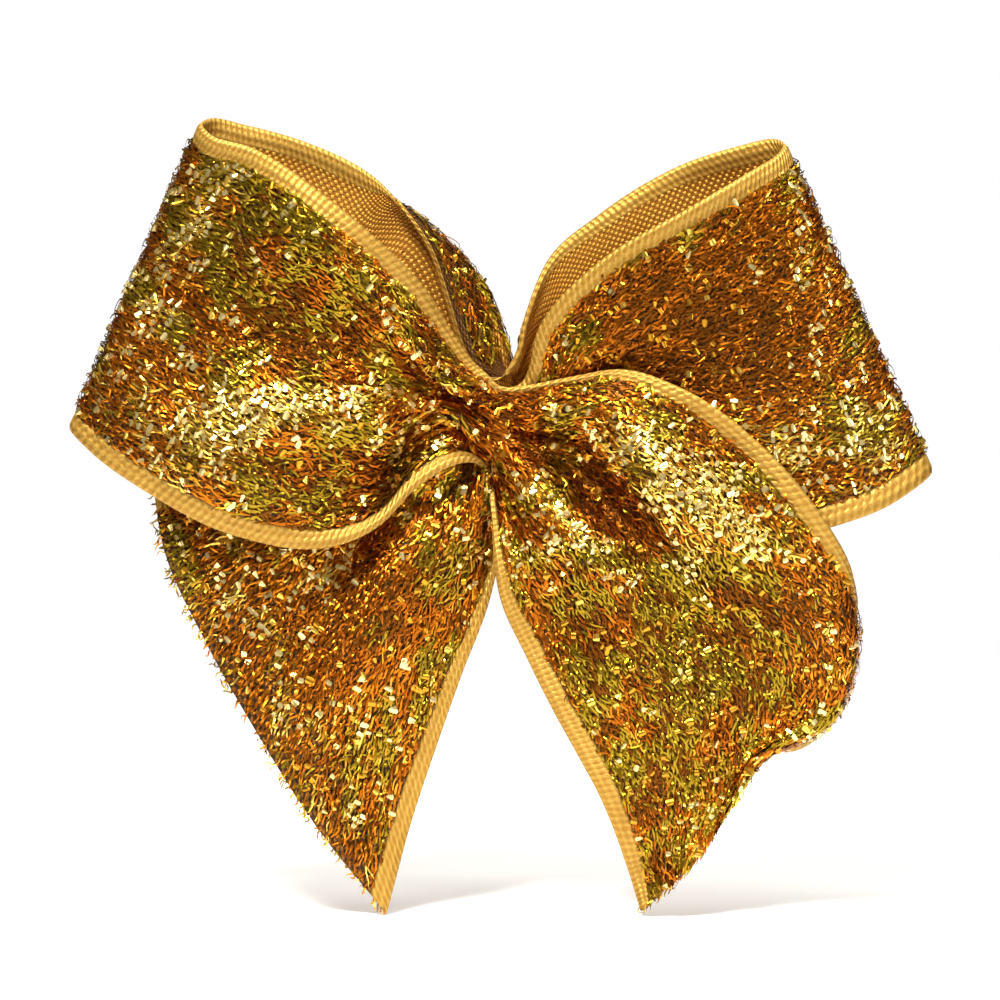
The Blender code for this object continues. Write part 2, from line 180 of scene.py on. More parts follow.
CENTRE_C = (
    ((0.4, -0.4, 5.4), (0.9, -0.2, 6.2), (2.0, -1.1, 6.0), (1.6, -1.2, 2.4), (1.1, -1.1, -1.2),
     (0.6, -1.1, -4.8)),
)
LEFT_LOOP = (
    ((-1.9, 0.5, 5.6), (-1.0, 1.0, 7.0), (1.6, -0.9, 8.0), (0.4, -1.1, 3.6), (-0.4, -1.1, -0.6),
     (-1.2, -1.1, -4.7)),
    ((-3.7, 0.8, 8.4), (-2.7, 1.5, 10.0), (0.6, -0.7, 11.6), (-1.2, -1.2, 5.8),
     (-2.2, -1.2, 0.5), (-3.2, -1.2, -4.6)),
    ((-5.4, 0.9, 13.8), (-4.3, 1.7, 14.9), (-1.0, -0.7, 15.4), (-2.6, -1.3, 8.2),
     (-4.2, -1.4, 1.8), (-6.0, -1.4, -4.6)),
    ((-7.4, 0.3, 20.0), (-6.5, 0.8, 20.5), (-4.2, -1.0, 19.2), (-5.8, -1.5, 11.6),
     (-7.5, -1.6, 3.8), (-9.5, -1.6, -4.5)),
    ((-10.6, -0.7, 24.9), (-10.2, -0.7, 24.7), (-9.0, -1.4, 21.9), (-10.4, -1.7, 13.4),
     (-12.2, -1.7, 4.5), (-14.0, -1.7, -4.4)),
    ((-14.5, -1.6, 28.8), (-22.0, -1.9, -4.1)),
    ((-21.7, -1.8, 32.2), (-32.0, -1.8, -3.2)),
    ((-28.2, -1.0, 34.0), (-41.0, -1.0, -1.8)),
    ((-31.6, 0.6, 34.7), (-46.0, 0.6, -0.4)),
    ((-32.6, 2.8, 34.2), (-47.4, 2.8, 0.1)),
    ((-31.4, 5.2, 32.8), (-44.6, 5.4, -2.6)),
    ((-26.8, 7.2, 31.4), (-38.0, 7.2, -7.0)),
    ((-19.6, 8.4, 26.8), (-28.3, 8.4, -11.5)),
    ((-12.9, 7.6, 21.2), (-19.5, 7.4, -12.9), (-15.3, 7.9, 17.9)),
    ((-7.8, 5.8, 15.9), (-12.8, 5.2, -10.4), (-10.3, 6.2, 12.8)),
    ((-5.0, 3.9, 11.4), (-7.2, 4.3, 8.8), (-8.2, 4.3, 5.8), (-8.8, 4.1, 2.8), (-9.0, 3.9, -0.4),
     (-8.6, 3.4, -6.2)),
    ((-2.9, 2.9, 8.2), (-4.5, 3.2, 6.0), (-5.0, 3.2, 4.4), (-5.2, 3.1, 2.8), (-5.1, 3.0, 0.8),
     (-4.4, 2.6, -3.8)),
    ((-0.9, 2.5, 6.2), (-1.7, 2.1, -4.0), (-1.6, 2.8, 4.6)),
)
CENTRE_A = (((0.8, 2.2, 4.8), (-0.3, 1.9, -5.6)),)
RIGHT_TAIL = (
    ((3.8, 2.4, 5.0), (-0.5, 2.0, -7.4)),
    ((8.2, 3.8, 5.9), (-0.4, 2.4, -10.4)),
    ((13.9, 5.8, 6.9), (-0.2, 2.8, -14.0)),
    ((20.6, 8.4, 4.9), (0.5, 3.3, -18.6)),
    ((29.5, 9.6, -1.5), (3.4, 3.7, -25.2)),
    ((36.2, 8.8, -9.3), (6.6, 4.1, -31.6)),
    ((39.7, 6.6, -16.0), (9.3, 4.2, -36.5), (38.3, 7.8, -18.8)),
    ((40.1, 3.8, -21.4), (11.5, 4.2, -40.6), (39.8, 6.6, -24.2)),
    ((39.4, 2.2, -26.2), (13.2, 4.1, -44.6), (39.2, 5.6, -28.6)),
    ((38.4, 1.2, -30.6), (37.9, 5.0, -31.8), (31.8, 5.8, -34.4), (26.4, 5.4, -38.6),
     (20.4, 4.8, -43.4), (14.4, 4.0, -48.0)),
    ((36.2, 0.8, -34.4), (35.4, 4.6, -34.0), (29.6, 6.0, -36.0), (25.7, 5.8, -40.8),
     (20.4, 5.2, -45.8), (15.2, 3.9, -50.4)),
    ((33.6, 1.2, -36.0), (32.4, 4.4, -35.0), (28.2, 6.2, -37.8), (24.8, 6.2, -43.0),
     (20.4, 5.8, -48.0), (15.8, 4.6, -52.4)),
    ((31.2, 1.8, -35.6), (29.8, 4.6, -36.2), (27.2, 6.4, -40.2), (24.2, 6.6, -45.2),
     (20.2, 6.4, -49.8), (16.2, 6.0, -53.6)),
)

# From here on, lengths along and heights are in millimetres where they aren't times MM, and
# places and reaches across are shares of the width, from 0 at the top selvedge.
# Pleats of each crossing: where the ridge sits across, ridge spacing, height at the pinch,
# how far it reaches before and after the crossing.
PLEATS = {
    "B": (0.30, 0.42, 0.9, 20.0, 20.0),
    "C": (0.45, 0.42, 0.6, 14.0, 14.0),
    "A": (0.62, 0.40, 1.1, 25.0, 32.0),
}
CREASE_SPACING = 0.115              # fine creases between the pleats
CREASE_HEIGHT = 0.35
CREASE_REACH = 7.5
CREASE_SLANT = 0.25                 # radians for each mm along

THREAD_GROOVE = 1.2                 # how deep the thread presses in
GROOVE_REACH = 1.5
DRAWN_IN = 0.95                     # share of the pleats the thread flattens
DRAWN_REACH = 2.6
FLAT_EDGE = 0.07                    # share across that lies flat over the pinch
FLAT_EDGE_RAMP = 0.08
PAINTED_PINCH_SHADE = 0.5                   # how dark the painted shade on the weave gets at the pinch
PAINTED_PINCH_SHADE_REACH = 3.2 * MM

# Small random waves: how many, least and most length along and across, height.
WAVES = 10
WAVE_ALONG = (14.0, 34.0)
WAVE_ACROSS = (0.35, 1.1)
WAVE_HEIGHT = 0.16

# Broad swells: crossing, distance past it, reach along, place and reach across, height.
SWELLS = (
    ("A", 24.0, 13.0, 0.33, 0.12, 3.6),
    ("A", 13.0, 10.0, 0.47, 0.09, -1.8),
    ("A", 19.0, 9.0, 0.50, 0.09, -1.2),
    ("A", 26.0, 8.0, 0.60, 0.09, 1.2),
    ("A", 16.0, 10.0, 0.74, 0.10, 2.0),
    ("A", 36.0, 10.0, 0.42, 0.16, -1.6),
    ("A", 47.0, 10.0, 0.74, 0.14, 1.8),
    ("A", -33.0, 9.0, 0.86, 0.10, 2.6),
    ("A", -34.0, 5.5, 0.75, 0.08, 1.6),
    ("A", -29.0, 6.0, 0.65, 0.08, 1.7),
    ("A", -24.0, 6.0, 0.57, 0.08, 1.6),
    ("A", -17.0, 6.0, 0.49, 0.08, 1.3),
    ("A", -21.0, 8.0, 0.74, 0.08, -1.2),
    ("A", -15.0, 10.0, 0.86, 0.08, -2.0),
    ("A", -27.0, 12.0, 0.38, 0.17, -2.4),
    ("A", -20.0, 14.0, 0.10, 0.10, 1.0),
    ("B", 17.0, 12.0, 0.36, 0.16, -2.0),
    ("B", 28.0, 12.0, 0.72, 0.12, 1.4),
    ("B", 38.0, 12.0, 0.98, 0.14, 1.6),
    ("B", -22.0, 14.0, 0.60, 0.15, 2.2),
    ("B", -14.0, 10.0, 0.30, 0.14, -1.0),
    ("B", -41.0, 12.0, 0.66, 0.14, 1.6),
)

# Painted light and shade on the pile: bands where its tints are made darker or lighter to follow
# the light and dark seen from the front: crossing, distance past it, reach along, place and
# reach across, how much brighter.
PAINTED_LIGHT_AND_SHADE = (
    ("C", 12.0, 14.0, 0.16, 0.24, -1.2),
    ("A", -32.0, 13.0, 0.26, 0.18, -0.7),
    ("A", -16.0, 9.0, 0.26, 0.16, -0.4),
    ("A", -35.5, 3.5, 0.77, 0.06, 1.9),
    ("A", -32.5, 3.5, 0.68, 0.06, 2.0),
    ("A", -40.0, 4.0, 0.90, 0.08, 0.5),
    ("A", -43.0, 4.0, 0.12, 0.10, 0.8),
    ("A", -29.0, 5.0, 0.48, 0.05, -0.7),
    ("A", -28.0, 4.0, 0.59, 0.05, 1.7),
    ("A", -22.0, 4.5, 0.51, 0.05, 1.3),
    ("A", -16.0, 4.0, 0.44, 0.05, 0.8),
    ("A", -26.0, 8.0, 0.42, 0.06, -0.6),
    ("A", -28.0, 7.0, 0.77, 0.07, -1.2),
    ("A", -18.0, 7.0, 0.66, 0.08, -0.8),
    ("A", -25.0, 6.0, 0.92, 0.07, -0.6),
    ("A", -9.0, 4.0, 0.76, 0.12, 1.1),
    ("A", -44.0, 4.0, 0.28, 0.20, 0.7),
    ("A", -46.0, 5.0, 0.55, 0.28, 0.6),
    ("A", 10.0, 7.0, 0.47, 0.08, -1.3),
    ("A", 19.0, 5.0, 0.51, 0.06, -1.1),
    ("A", 12.0, 6.0, 0.10, 0.10, -0.9),
    ("A", 17.0, 5.0, 0.25, 0.08, 1.3),
    ("A", 24.0, 5.0, 0.25, 0.09, 1.5),
    ("A", 31.0, 4.0, 0.22, 0.07, 1.4),
    ("A", 16.0, 4.5, 0.64, 0.04, 1.3),
    ("A", 23.0, 4.0, 0.59, 0.04, 1.4),
    ("A", 29.0, 3.0, 0.42, 0.06, 1.3),
    ("A", 35.0, 4.5, 0.30, 0.09, -1.6),
    ("A", 24.0, 8.0, 0.86, 0.10, -0.6),
    ("A", 50.0, 5.0, 0.88, 0.14, -0.7),
    ("A", 41.0, 6.0, 0.36, 0.14, -0.4),
    ("A", 30.0, 9.0, 0.68, 0.17, -1.3),
    ("A", 47.0, 9.0, 0.66, 0.35, -0.9),
    ("B", 23.0, 12.0, 0.24, 0.16, -1.0),
    ("B", 30.0, 8.0, 0.46, 0.15, -1.2),
    ("B", 35.0, 6.0, 0.78, 0.11, 0.6),
    ("B", 42.0, 3.0, 0.80, 0.14, 0.7),
    ("B", -12.0, 5.0, 0.64, 0.14, -0.9),
    ("B", -21.0, 6.0, 0.66, 0.15, -1.1),
    ("B", -27.0, 4.0, 0.40, 0.08, 1.2),
    ("B", -29.0, 7.0, 0.58, 0.13, -0.8),
    ("B", -38.0, 5.0, 0.26, 0.13, 0.7),
)

# Where the film's tints run redder, or greener, in the same terms.
WARMTH = (
    ("B", -35.0, 9.0, 0.42, 0.24, 1.2),
    ("B", -24.0, 7.0, 0.52, 0.14, 1.5),
    ("B", 30.0, 11.0, 0.46, 0.26, 1.3),
    ("B", 22.0, 10.0, 0.26, 0.16, 1.2),
    ("B", 38.0, 9.0, 0.30, 0.16, 0.8),
    ("A", 0.0, 5.0, 0.50, 0.60, 1.0),
    ("A", -36.0, 10.0, 0.22, 0.20, -1.0),
    ("A", -45.0, 5.0, 0.70, 0.30, 0.9),
    ("A", 34.0, 9.0, 0.55, 0.22, -1.3),
    ("A", 42.0, 7.0, 0.10, 0.12, 1.4),
    ("A", 46.0, 10.0, 0.75, 0.25, -0.5),
    ("A", 19.0, 6.0, 0.46, 0.08, 1.2),
    ("C", 12.0, 14.0, 0.16, 0.24, -0.8),
)

WEAVE_CELL = 0.44 * MM
WEAVE_EDGES = (-0.25, 0.65)         # a yarn's dot starts and is whole, of -1 to 1
WEAVE_RELIEF = 0.13 * MM
WEAVE_ROUGHNESS = (0.62, 0.42)      # between the dots and on them
WOBBLE = 0.25 * MM                  # how far the yarns run out of line
RIB_SPACING = 0.78 * MM             # slanted ribs of the selvedge
RIB_SLANT = 0.45
RIB_SHARE = 0.50
CORD_SPACING = 0.92 * MM            # cords along the selvedge
CORD_SHARE = 0.40
SELVEDGE_FADE = (0.9, 1.05)         # in selvedge widths from the edge
# Colours, darker then lighter: the plain side's gaps and yarns, the weave under the pile
# (painted shade), the selvedge's grooves and ribs, the painted shade at the pinch.
PLAIN_GAP = (0.350, 0.128, 0.008)
PLAIN_YARN = ((0.70, 0.335, 0.034), (0.88, 0.500, 0.075))
# painted shade: the weave's pile side is coloured dark where the pile covers it
UNDER_PILE_PAINTED_SHADE = ((0.050, 0.020, 0.003), (0.24, 0.095, 0.012))
BAND_GROOVE = ((0.38, 0.175, 0.017), (0.46, 0.235, 0.027))
BAND_RIB = ((0.51, 0.285, 0.040), (0.66, 0.415, 0.085))
PAINTED_PINCH_SHADE_COLOUR = (0.16, 0.06, 0.008)

# ---- pile
BARE_AT = 12.0 * MM                 # past crossing C the back edge turns over and has no pile
BARE_REACH = 10.0 * MM
BARE_DEPTH = 0.105
BARE_CROSSING = 2.0 * MM            # the two back crossings are pressed flat and hidden
SPILL = 0.004                       # how far pile reaches over the selvedge
SPILL_STEP = 0.003                  # less of it at the top edge for each further layer
FIRST_ROW = 0.3                     # how far the rows start and end from the cuts
LAST_ROW = 0.2
ROW_OFFSET = 0.37                   # share of the spacing between layers
PAST_CUT = 0.1 * MM
JITTER = 0.20                       # share of the spacing
LEAST_SQUEEZE = 0.25                # of gathered ribbon's width
ARCH_LOST = 0.5                     # share that fully gathered pile loses
LIFT_LOST = 0.4
STRIP_LEAN = 0.09                   # spreads of the strips' turns, radians
STRIP_YAW = 0.60
STRIP_ROLL = 0.14
TURNED_MORE = 3.2                   # times those, for strips turned at random
SPARK_TURNED_MORE = 2.4
CURL_RANGE = (0.4, 1.3)
CURL_TURNS = (0.5, 1.3)
CURL_RISE = 0.22                    # share of the curl that goes up and down
TAPER = 0.80                        # how much a strip narrows to its ends
FRAYS = 110                         # loose yarns at each cut end
FRAY_PARTS = 6
FRAY_LENGTH = (0.6, 1.5)
FRAY_OUT = 0.30                     # share of its length past the cut
FRAY_WIDTH = (0.12, 0.24)
FRAY_LIFT = (-0.1, 0.4)
FRAY_CURL = (0.05, 0.30)
FRAY_TURNS = (0.35, 0.45, 0.5)      # spreads of lean, yaw and roll, radians
SPARK_PARTS = 4                     # a spark is rounder than a strip

# Patches of tone, hue and clumps of sparks: seed, waves, least and most length in millimetres.
TONE_PATCHES = (5, 14, 2.6, 9.0)
HUE_PATCHES = (6, 14, 3.0, 12.0)
CLUMP_PATCHES = (7, 24, 2.0, 5.0)
PATCH_SCALE = 1.6
LAYER_SEED = 10                     # the layers' seeds count up from here

# Where one tint gives way to the next, from dark to light and from green to red.
BED_MOSS = -0.5
BED_BROWN = -0.1
CURL_UMBER = -1.25
CURL_SHADE = -0.20
CURL_YELLOW = 0.95
SPARK_YELLOW = -0.25
SPARK_PALE = 0.45
GREENISH = -0.25
SHADE_GREENISH = -0.15
REDDISH = 0.30

# What makes a strip lighter or darker, and redder or greener; the crest, pinch and band terms
# paint light and shade into the tints.
TONE_WEIGHT = 0.58
# painted light on pleat crests and painted shade in their valleys
PAINTED_CREST_LIGHT = 0.22
PAINTED_CREST_LIGHT_LIMIT = 1.6
# painted shade on the pile at the front pinch
PILE_PINCH_PAINTED_SHADE = 0.8
PILE_PINCH_SHADE_REACH = 4.0 * MM
TONE_BASE = 0.12
HUE_SCATTER = 0.34
SPARK_CLUMP = 0.9                   # sparks show where tone and clumps peak
SPARK_LEVEL = 0.75
SPARK_STRAY = 0.12                  # share that shows anywhere
SPARK_LIGHTER = 0.5

# Layers of film strips: kind, straight runs in each, spacing along and across, least and most
# length, width, arch and lift, how far they curl, all in millimetres, then how scattered the
# tints and the directions are, and the share that is turned at random to sparkle.
LAYERS = (
    ("bed", 3, 0.85, 0.46, (0.8, 1.5), (0.30, 0.42), (0.02, 0.07), (0.08, 0.22), 0.04, 0.5, 0.4,
     0.05),
    ("curl", 6, 1.10, 0.42, (1.3, 2.4), (0.16, 0.26), (0.04, 0.14), (0.22, 0.46), 0.16, 0.42,
     0.45, 0.08),
    ("curl", 6, 1.35, 0.62, (1.4, 2.8), (0.15, 0.24), (0.04, 0.18), (0.40, 0.70), 0.22, 0.42,
     0.5, 0.10),
    ("spark", SPARK_PARTS, 1.10, 0.76, (0.60, 1.15), (0.58, 1.05), (0.01, 0.04), (0.55, 0.80),
     0.0, 0.5, 0.5, 0.18),
)
TINTS = {
    "umber": ((0.200, 0.060, 0.006), 0.46),
    "brown": ((0.350, 0.118, 0.010), 0.46),
    "moss": ((0.240, 0.152, 0.011), 0.46),
    "copper": ((0.410, 0.108, 0.007), 0.34),
    "orange": ((0.590, 0.178, 0.010), 0.32),
    "gold": ((0.640, 0.296, 0.024), 0.30),
    "olive": ((0.370, 0.235, 0.015), 0.32),
    "yellow": ((0.880, 0.560, 0.090), 0.32),
    "pale": ((1.000, 0.800, 0.320), 0.34),
}


def spread(params, values, at):
    """Smooth curve through values at rising params, read where asked."""
    flat = values.reshape(len(values), -1)
    step = np.diff(params)[:, None]
    slope = np.diff(flat, axis=0) / step
    tangent = np.empty_like(flat)
    tangent[1:-1] = (slope[:-1] * step[1:] + slope[1:] * step[:-1]) / (step[1:] + step[:-1])
    tangent[0] = slope[0]
    tangent[-1] = slope[-1]
    cell = np.clip(np.searchsorted(params, at, "right") - 1, 0, len(step) - 1)
    gap = step[cell]
    t = (at[:, None] - params[cell][:, None]) / gap
    out = (flat[cell] * (2 * t**3 - 3 * t**2 + 1) + tangent[cell] * gap * (t**3 - 2 * t**2 + t)
           + flat[cell + 1] * (3 * t**2 - 2 * t**3) + tangent[cell + 1] * gap * (t**3 - t**2))
    return out.reshape(len(at), *values.shape[1:])


def station_columns(station):
    """A station's points across the ribbon, in metres in the object's frame."""
    points = station
    if len(station) < len(COLUMNS):
        top, low = np.array(station[:2])
        crest = np.array(station[2]) if len(station) > 2 else top + (low - top) * COLUMNS[1]
        points = [top]
        for v in COLUMNS[1:]:
            points.append(crest + (low - crest) * ((v - COLUMNS[1]) / (1 - COLUMNS[1])))
    points = np.array(points) * MM
    return np.stack([points[:, 0], BOW_Y - points[:, 1], points[:, 2]], axis=1)


def unit(vectors):
    """Vectors scaled to length one."""
    return vectors / np.maximum(np.linalg.norm(vectors, axis=-1, keepdims=True), 1e-12)


def ribbon_grid():
    """The ribbon's middle surface as a grid, with its distance along, and the crossings."""
    stretches = (LEFT_TAIL, CENTRE_B, RIGHT_LOOP, CENTRE_C, LEFT_LOOP, CENTRE_A, RIGHT_TAIL)
    stations = [s for stretch in stretches for s in stretch]
    starts = np.cumsum([0] + [len(s) for s in stretches])
    control = np.array([station_columns(s) for s in stations])
    chord = np.linalg.norm(np.diff(control, axis=0), axis=2).mean(axis=1)
    knots = np.concatenate([[0.0], np.cumsum(chord)])
    across = np.linspace(0.0, 1.0, CELLS_ACROSS + 1)
    samples = np.linspace(0.0, knots[-1], PATH_SAMPLES)
    fine = spread(knots, control, samples)
    length = np.linalg.norm(np.diff(fine, axis=0), axis=2).mean(axis=1)
    travelled = np.concatenate([[0.0], np.cumsum(length)])
    count = int(round(travelled[-1] / STEP_ALONG))
    along = np.linspace(0.0, travelled[-1], count + 1)
    at = np.interp(along, travelled, samples)
    columns = spread(knots, control, at)
    grid = spread(np.array(COLUMNS), columns.transpose(1, 0, 2), across).transpose(1, 0, 2)
    crossings = {}
    for name, index in zip("BCA", (1, 3, 5)):
        crossings[name] = float(np.interp(knots[starts[index]], samples, travelled))
    return grid, along, across, crossings


def bumps(table, s, v, crossings):
    """Sum of broad humps set by distance past a crossing and place across."""
    total = 0.0
    for name, past, reach, place, wide, height in table:
        d = (s - crossings[name] / MM - past) / reach
        total = total + height * np.exp(-d ** 2 - ((v - place) / wide) ** 2)
    return total


def from_flat_edge(v):
    """Rises from 0 at the top edge, which the thread leaves flat, to 1."""
    return np.clip((v - FLAT_EDGE) / FLAT_EDGE_RAMP, 0, 1)


def pleated(grid, along, across, crossings, groove):
    """The grid with its pleats, swells and small waves, and a groove under the thread."""
    rng = np.random.default_rng(SEED)
    s = along[:, None] / MM
    v = across[None, :]
    forward = np.zeros(grid.shape[:2])
    for name, (phase, spacing, height, before, after) in PLEATS.items():
        d = s - crossings[name] / MM
        reach = np.where(d < 0, before, after)
        drawn = 1 - DRAWN_IN * np.exp(-(d / DRAWN_REACH) ** 2)
        fade = drawn * np.exp(-(d / reach) ** 2)
        forward += height * fade * np.cos(math.tau * (v - phase) / spacing)
        forward += CREASE_HEIGHT * drawn * np.exp(-(d / CREASE_REACH) ** 2) * np.cos(
            math.tau * (v - phase) / CREASE_SPACING + CREASE_SLANT * d)
    from_front = s - crossings["A"] / MM
    forward -= groove * from_flat_edge(v) * np.exp(-(from_front / GROOVE_REACH) ** 2)
    loose = 1 - DRAWN_IN * np.exp(-(from_front / DRAWN_REACH) ** 2)
    forward += loose * bumps(SWELLS, s, v, crossings)
    for _ in range(WAVES):
        wave_s = rng.uniform(*WAVE_ALONG)
        wave_v = rng.uniform(*WAVE_ACROSS)
        turn = rng.uniform(0, math.tau, 2)
        forward += WAVE_HEIGHT * np.sin(math.tau * s / wave_s + turn[0]) * np.sin(
            math.tau * v / wave_v + turn[1])
    out = grid.copy()
    out[:, :, 1] -= forward * MM
    return out, forward


def surface_frame(grid):
    """Unit directions along and across the ribbon and out of its pile side."""
    along = unit(np.gradient(grid, axis=0))
    across = unit(np.gradient(grid, axis=1))
    normal = unit(np.cross(across, along))
    return along, across, normal


def add_object(name, data):
    """A new object in the scene."""
    obj = bpy.data.objects.new(name, data)
    bpy.context.scene.collection.objects.link(obj)
    return obj


def mesh_object(name, verts, faces, material, smooth=True):
    """A mesh piece from arrays."""
    mesh = bpy.data.meshes.new(name)
    mesh.from_pydata(verts.tolist(), [], faces.tolist() if hasattr(faces, "tolist") else faces)
    mesh.polygons.foreach_set("use_smooth", [smooth] * len(mesh.polygons))
    mesh.materials.append(material)
    mesh.update()
    return add_object(name, mesh)


def point_attribute(obj, name, values):
    """A number on each vertex that the material can read."""
    layer = obj.data.attributes.new(name, "FLOAT", "POINT")
    layer.data.foreach_set("value", np.asarray(values, dtype=np.float32).ravel())


def ribbon_piece(grid, normal, along, across, crossings, material):
    """The woven ground: two layers that meet in rolled edges."""
    rows, cols = grid.shape[:2]
    from_edge = np.minimum(across, 1 - across) * RIBBON_WIDTH
    ramp = SELVEDGE * SELVEDGE_RAMP
    in_selvedge = 1 - np.clip((from_edge - (SELVEDGE - ramp)) / ramp, 0, 1)
    half = (GROUND_THICK + (SELVEDGE_THICK - GROUND_THICK) * in_selvedge) / 2
    roll = SELVEDGE_THICK / 2
    half = half * np.sqrt(
        np.clip(1 - (1 - np.minimum(from_edge / roll, 1)) ** 2, EDGE_LEAST, 1))
    front = grid + normal * half[None, :, None]
    back = grid - normal * half[None, :, None]
    verts = np.concatenate([front.reshape(-1, 3), back.reshape(-1, 3)])
    index = np.arange(rows * cols).reshape(rows, cols)
    other = index + rows * cols
    quads = [
        np.stack([index[:-1, :-1], index[1:, :-1], index[1:, 1:], index[:-1, 1:]], -1),
        np.stack([other[:-1, :-1], other[:-1, 1:], other[1:, 1:], other[1:, :-1]], -1),
    ]
    for edge in (0, -1):
        side = np.stack([index[:-1, edge], other[:-1, edge], other[1:, edge],
                         index[1:, edge]], -1)
        quads.append(side if edge == 0 else side[:, ::-1])
    for edge in (0, -1):
        end = np.stack([index[edge, :-1], index[edge, 1:], other[edge, 1:],
                        other[edge, :-1]], -1)
        quads.append(end if edge == 0 else end[:, ::-1])
    faces = np.concatenate([q.reshape(-1, 4) for q in quads])[:, ::-1]
    obj = mesh_object("ribbon", verts, faces, material)
    point_attribute(obj, "across", np.tile(across * RIBBON_WIDTH, rows * 2))
    point_attribute(obj, "along", np.tile(np.repeat(along, cols), 2))
    point_attribute(obj, "pile_side", np.repeat([1.0, 0.0], rows * cols))
    # painted shade on the weave at each crossing, left off the flat top edge
    pinch = sum(PAINTED_PINCH_SHADE * np.exp(-((along - place) / PAINTED_PINCH_SHADE_REACH) ** 2)
                for place in crossings)
    inward = from_flat_edge(across)
    point_attribute(obj, "pinch", np.tile((pinch[:, None] * inward[None, :]).ravel(), 2))
    return obj


def read_grid(values, row, col):
    """Grid values between its points."""
    r = np.clip(row.astype(int), 0, values.shape[0] - 2)
    c = np.clip(col.astype(int), 0, values.shape[1] - 2)
    fr = (row - r)[:, None]
    fc = (col - c)[:, None]
    return ((values[r, c] * (1 - fc) + values[r, c + 1] * fc) * (1 - fr)
            + (values[r + 1, c] * (1 - fc) + values[r + 1, c + 1] * fc) * fr)


def patches(settings, s, a):
    """Slowly changing numbers over the ribbon, about -1 to 1."""
    seed, count, low, high = settings
    rng = np.random.default_rng(SEED + seed)
    total = np.zeros(len(s))
    for _ in range(count):
        wave = rng.uniform(low, high)
        turn = rng.uniform(0, math.tau)
        angle = rng.uniform(0, math.pi)
        total += np.sin(math.tau * (s * math.cos(angle) + a * math.sin(angle)) / wave + turn)
    return total / math.sqrt(count / 2) / PATCH_SCALE


def strips(base, along, across, normal, rng, parts, shape):
    """Little arched, curling strips of film standing on the ribbon: vertices and faces."""
    length, width, arch, lift, curl, lean, yaw, roll = (x[:, None] for x in shape)
    count = len(base)
    k = np.linspace(-0.5, 0.5, parts + 1)[None, :]
    to_tip = np.abs(2 * k)
    turns = rng.uniform(*CURL_TURNS, (count, 1))
    phase = rng.uniform(0, math.tau, (count, 2))
    ahead = along * np.cos(yaw) + across * np.sin(yaw)
    aside = across * np.cos(yaw) - along * np.sin(yaw)
    run = k * length
    rise = (lift * (1 - to_tip ** 6) + arch * (1 - to_tip ** 2) + lean * run
            + CURL_RISE * curl * np.sin(math.tau * turns * k + phase[:, 1:]))
    wander = curl * np.sin(math.tau * turns * k + phase[:, :1])
    centre = (base[:, None] + ahead[:, None] * run[..., None] + normal[:, None] * rise[..., None]
              + aside[:, None] * wander[..., None])
    tangent = unit(np.gradient(centre, axis=1))
    flat = unit(np.cross(normal[:, None], tangent))
    up = np.cross(tangent, flat)
    edge = flat * np.cos(roll)[..., None] + up * np.sin(roll)[..., None]
    half = (width / 2) * (1 - TAPER * to_tip ** (2 if parts == SPARK_PARTS else 4))
    left = centre - edge * half[..., None]
    right = centre + edge * half[..., None]
    verts = np.stack([left, right], axis=2).reshape(-1, 3)
    first = (np.arange(count) * 2 * (parts + 1))[:, None] + (2 * np.arange(parts))[None, :]
    faces = np.stack([first, first + 1, first + 3, first + 2], -1).reshape(-1, 4)
    return verts, faces


def tint_names(kind, pick, warm):
    """Which tint each strip has, from how light and how warm it is."""
    if kind == "bed":
        names = np.where(pick > BED_BROWN, "brown", "umber")
        return np.where((warm < GREENISH) & (pick > BED_MOSS), "moss", names)
    if kind == "spark":
        return np.where(pick > SPARK_PALE, "pale",
                        np.where(pick > SPARK_YELLOW, "yellow", "gold"))
    names = np.where(warm > REDDISH, "orange", np.where(warm < GREENISH, "olive", "gold"))
    in_shade = np.where(warm < SHADE_GREENISH, "olive", "copper")
    names = np.where(pick < CURL_SHADE, in_shade, names)
    names = np.where(pick < CURL_UMBER, "umber", names)
    return np.where(pick > CURL_YELLOW, "yellow", names)


